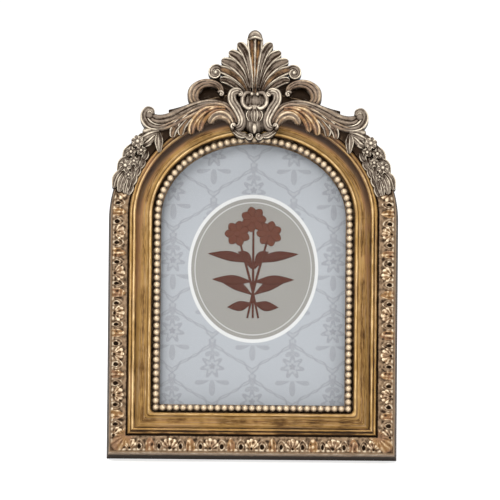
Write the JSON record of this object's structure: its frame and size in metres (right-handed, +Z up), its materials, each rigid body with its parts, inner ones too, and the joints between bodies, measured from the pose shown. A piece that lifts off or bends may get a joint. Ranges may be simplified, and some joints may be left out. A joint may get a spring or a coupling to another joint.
{
  "type": "photo frame",
  "caption": "Arched tabletop photo frame with a carved border, a gold scoop, a pearl course, a pierced acanthus crest, a glazed rabbet and a folding easel leg.",
  "frame": {"origin": "on the floor under the middle of the box round the frame with its leg open", "axes": "+Z up, the picture faces -Y, +X to the right of someone facing the picture"},
  "size_m": [0.094, 0.0486, 0.1384],
  "materials": {
    "champagne_resin": "cast resin in rubbed champagne silver over dark brown",
    "gold_resin": "cast resin in brushed antique gold",
    "pearl_resin": "cast resin, rubbed bright",
    "pane": "clear",
    "print_card": "printed",
    "flocked_board": "black flock on fibreboard",
    "hardware": "plated"
  },
  "bodies": {
    "frame_body": {"outer_casting": "champagne_resin", "scoop_liner": "gold_resin", "pearl_course": "pearl_resin", "crest": "champagne_resin", "shoulder_spray_right": "champagne_resin", "shoulder_spray_left": "champagne_resin", "glass_pane": "pane", "photo_card": "print_card", "backing_board": "flocked_board", "turn_screw_low_right": "hardware", "turn_screw_high_right": "hardware", "turn_screw_high_left": "hardware", "turn_screw_low_left": "hardware", "sawtooth_hanger": "hardware", "hanger_nail_left": "hardware", "hanger_nail_right": "hardware", "hinge_board_leaf": "hardware", "hinge_pin": "hardware", "board_rivet_left": "hardware", "board_rivet_right": "hardware"},
    "leg_body": {"easel_leg": "flocked_board", "hinge_leg_leaf": "hardware", "leg_rivet_left": "hardware", "leg_rivet_right": "hardware"},
    "button_low_right": {"turn_button_low_right": "hardware"},
    "button_high_right": {"turn_button_high_right": "hardware"},
    "button_high_left": {"turn_button_high_left": "hardware"},
    "button_low_left": {"turn_button_low_left": "hardware"}
  },
  "joints": [
    {"name": "easel_leg_fold", "type": "hinge", "parent": "frame_body", "child": "leg_body", "pos_m": [0, 0.00809, 0.07336], "axis": [-1, 0, 0], "range_deg": [0, 26]},
    {"name": "turn_button_low_right_turn", "type": "hinge", "parent": "frame_body", "child": "button_low_right", "pos_m": [0.03635, -0.00382, 0.03304], "axis": [0, -0.9703, 0.2419], "continuous": true},
    {"name": "turn_button_high_right_turn", "type": "hinge", "parent": "frame_body", "child": "button_high_right", "pos_m": [0.02864, 0.01139, 0.09404], "axis": [0, -0.9703, 0.2419], "continuous": true},
    {"name": "turn_button_high_left_turn", "type": "hinge", "parent": "frame_body", "child": "button_high_left", "pos_m": [-0.02864, 0.01139, 0.09404], "axis": [0, -0.9703, 0.2419], "continuous": true},
    {"name": "turn_button_low_left_turn", "type": "hinge", "parent": "frame_body", "child": "button_low_left", "pos_m": [-0.03635, -0.00382, 0.03304], "axis": [0, -0.9703, 0.2419], "continuous": true}
  ]
}
